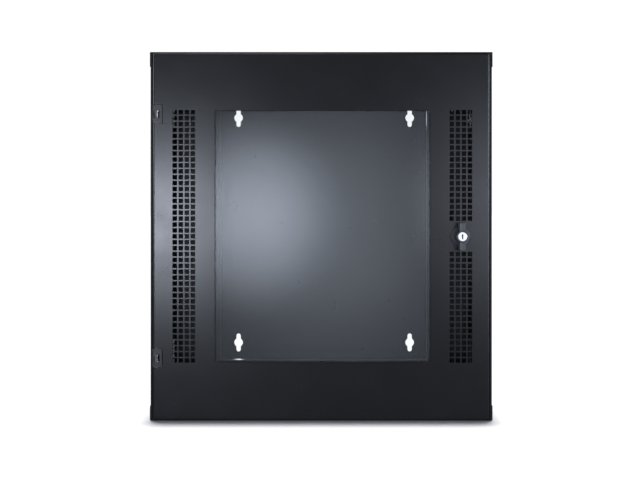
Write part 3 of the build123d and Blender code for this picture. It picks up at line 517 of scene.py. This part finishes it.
def floor():
    """A plain pale floor that the cabinet stands on, bright to the camera and dim in the paint."""
    low = FOOT_Z - FLOOR_DROP
    corners = []
    for side_x, side_y in ((-1, -1), (1, -1), (1, 1), (-1, 1)):
        corners.append((side_x * FLOOR_REACH, side_y * FLOOR_REACH, low))
    mesh = bpy.data.meshes.new("floor")
    mesh.from_pydata(corners, [], [(0, 1, 2, 3)])
    obj = bpy.data.objects.new("floor", mesh)
    bpy.context.scene.collection.objects.link(obj)
    m = Nodes("pale_floor")
    tree = m.tree
    tree.nodes.remove(m.shader)
    bright = m.add("ShaderNodeBsdfDiffuse", Color=(0.9, 0.9, 0.9, 1.0))
    lift = m.add("ShaderNodeEmission", Color=WHITE, Strength=0.02)
    seen = tree.nodes.new("ShaderNodeAddShader")
    m.link(bright.outputs[0], seen.inputs[0])
    m.link(lift.outputs[0], seen.inputs[1])
    dim = m.add("ShaderNodeBsdfDiffuse", Color=(0.24, 0.25, 0.27, 1.0))
    m.link(camera_only(tree, seen, dim), tree.nodes["Material Output"].inputs["Surface"])
    obj.data.materials.append(m.material)
    obj.visible_glossy = False
    return obj


def group_of(name, objects, state):
    """A collection for light linking, whose members are all included or all left out."""
    group = bpy.data.collections.new(name)
    for obj in objects:
        group.objects.link(obj)
    for linked in group.collection_objects:
        linked.light_linking.link_state = state
    return group


def light_linked(light, objects, state):
    """Limits a light to these objects (INCLUDE), or keeps it off them (EXCLUDE)."""
    light.light_linking.receiver_collection = group_of(light.name + "_group", objects, state)


def soft_panel(name, place, target, width, height, radiance):
    """A soft light panel, brightest in its middle and fading to nothing at its edges."""
    light = bpy.data.lights.new(name, "AREA")
    light.shape = "RECTANGLE"
    light.size = width
    light.size_y = height
    light.energy = radiance * math.pi * width * height
    light.color = COOL
    light.use_nodes = True
    tree = light.node_tree
    across = tree.nodes.new("ShaderNodeNewGeometry")
    centre = tree.nodes.new("ShaderNodeVectorMath")
    centre.operation = "DISTANCE"
    centre.inputs[1].default_value = (0.5, 0.5, 0.0)
    tree.links.new(across.outputs["Parametric"], centre.inputs[0])
    fade = tree.nodes.new("ShaderNodeMapRange")
    fade.interpolation_type = "SMOOTHSTEP"
    fade.inputs["From Min"].default_value = 0.0
    fade.inputs["From Max"].default_value = 0.5
    fade.inputs["To Min"].default_value = 1.0
    fade.inputs["To Max"].default_value = 0.0
    tree.links.new(centre.outputs["Value"], fade.inputs["Value"])
    tree.links.new(fade.outputs["Result"], tree.nodes["Emission"].inputs["Strength"])
    obj = bpy.data.objects.new(name, light)
    obj.location = place
    obj.rotation_euler = (Vector(target) - Vector(place)).to_track_quat("-Z", "Y").to_euler()
    bpy.context.scene.collection.objects.link(obj)
    return obj


def soft_sun(strength, spread, lean):
    """An even light from above, whose shadow stays close to the cabinet's foot."""
    light = bpy.data.lights.new("overhead_sun", "SUN")
    light.energy = strength
    light.angle = math.radians(spread)
    obj = bpy.data.objects.new("overhead_sun", light)
    obj.rotation_euler = (math.radians(lean), 0, 0)
    bpy.context.scene.collection.objects.link(obj)
    return obj


def nodes_named(*names):
    return [frame["nodes"][name] for name in names]


def face_lights(pins, lock):
    """A panel each for the door's face, the key, the handle and the hinge pins."""
    front = LIGHT_WALL_Y
    to_left = (-0.27, DOOR_FACE_Y, 0.0)
    to_right = (0.27, DOOR_FACE_Y, 0.0)
    plug = nodes_named("key_plug")
    recesses = nodes_named("door_panel", "door_hinge_brackets")
    face = recesses + lock
    door_glow = soft_panel("door_glow", (-0.62, front, 0.02), to_left, 0.58, 0.60, 32.5)
    light_linked(door_glow, face, "INCLUDE")
    lock_glow = soft_panel("lock_glow", (0.80, front, 0.09), to_right, 1.1, 0.95, 4.9)
    light_linked(lock_glow, face + nodes_named("window_glass"), "INCLUDE")
    key_glow = soft_panel("key_glow", (0.52, front, 0.0), to_right, 0.8, 0.8, 1.45)
    light_linked(key_glow, plug, "INCLUDE")
    handle_glow = soft_panel("handle_glow", (0.66, front, 0.0), to_right, 0.7, 0.9, 11.0)
    light_linked(handle_glow, lock, "INCLUDE")
    pin_glow = soft_panel("pin_glow", (2.6, -1.3, -0.05), to_left, 3.4, 3.0, 6.0)
    light_linked(pin_glow, pins, "INCLUDE")
    pin_glow.light_linking.blocker_collection = group_of("pin_blockers", recesses, "EXCLUDE")


def window_lights(kept_dark):
    """The broad sheen seen in the glass and on what lies behind it."""
    glass_place = (-0.30, LIGHT_WALL_Y - 0.01, 0.04)
    glass_glow = soft_panel("glass_glow", glass_place, (-0.12, DOOR_FACE_Y, 0.0), 0.80, 0.84, 3.6)
    broad_place = (0.0, LIGHT_WALL_Y - 0.02, -0.02)
    broad_glow = soft_panel("broad_glow", broad_place, (0.0, DOOR_FACE_Y, 0.0), 1.9, 2.0, 1.05)
    own_lights = nodes_named("door_panel", "key_plug")
    for panel in (glass_glow, broad_glow):
        light_linked(panel, kept_dark + own_lights, "EXCLUDE")


def surrounding_lights(kept_dark, lock):
    """Soft panels on every other side, so that the edges and the other faces show."""
    door = (0.0, DOOR_FACE_Y, 0.0)
    middle = (0.0, -0.3, 0.0)
    for panel in (
        soft_panel("side_right", (2.1, -2.3, 0.2), door, 1.2, 1.6, 16.0),
        soft_panel("back_left", (-2.4, 1.6, 1.2), middle, 1.8, 1.8, 6.0),
        soft_panel("back_right", (2.6, 1.2, 1.0), middle, 1.8, 1.8, 6.0),
        soft_panel("side_left", (-2.6, -1.4, 0.4), (-0.29, -0.3, 0.0), 1.6, 1.6, 4.0),
    ):
        light_linked(panel, kept_dark, "EXCLUDE")
    for panel in (
        soft_panel("back_glow", (-0.5, 2.7, 0.4), (0.0, 0.0, 0.0), 1.7, 1.7, 6.0),
        soft_panel("left_glow", (-2.8, 0.0, 0.4), (-0.3, -0.3, 0.0), 1.7, 1.7, 6.0),
        soft_panel("right_glow", (2.8, 0.0, 0.4), (0.3, -0.3, 0.0), 1.7, 1.7, 6.0),
        soft_panel("top_glow", (-0.4, 0.0, 2.9), (0.0, -0.3, 0.3), 1.9, 1.9, 6.0),
    ):
        light_linked(panel, kept_dark + lock, "EXCLUDE")


def floor_light(floor_sheet, lock):
    """The sun lights the floor alone, and the lock throws no blot on it."""
    sun = soft_sun(strength=3.75, spread=5.2, lean=-3.2)
    light_linked(sun, [floor_sheet], "INCLUDE")
    see_through = lock + nodes_named("key_plug")
    sun.light_linking.blocker_collection = group_of("sun_blockers", see_through, "EXCLUDE")


def studio_lights(floor_sheet, hinge_coils):
    """Every light of the studio, each kept to the things it is meant for."""
    pins = nodes_named("upper_hinge_pin", "lower_hinge_pin") + hinge_coils
    lock = nodes_named("lock_escutcheon", "wing_handle")
    kept_dark = [floor_sheet] + pins
    face_lights(pins, lock)
    window_lights(kept_dark)
    surrounding_lights(kept_dark, lock)
    floor_light(floor_sheet, lock)


def camera():
    """Level and square to the door, a little above and to the right of its middle."""
    data = bpy.data.cameras.new("camera")
    obj = bpy.data.objects.new("camera", data)
    obj.location = (CAMERA_RIGHT, DOOR_FACE_Y - CAMERA_DISTANCE, CAMERA_RISE)
    obj.rotation_euler = (math.radians(90), 0, 0)
    data.lens = 52.6
    data.shift_x = -0.018
    data.shift_y = -0.0395
    data.clip_end = 1000.0    # so that the floor runs on to the horizon
    bpy.context.scene.collection.objects.link(obj)
    bpy.context.scene.camera = obj


studio_world()
studio_lights(floor(), coils)
camera()
bpy.context.scene.view_settings.view_transform = "Standard"
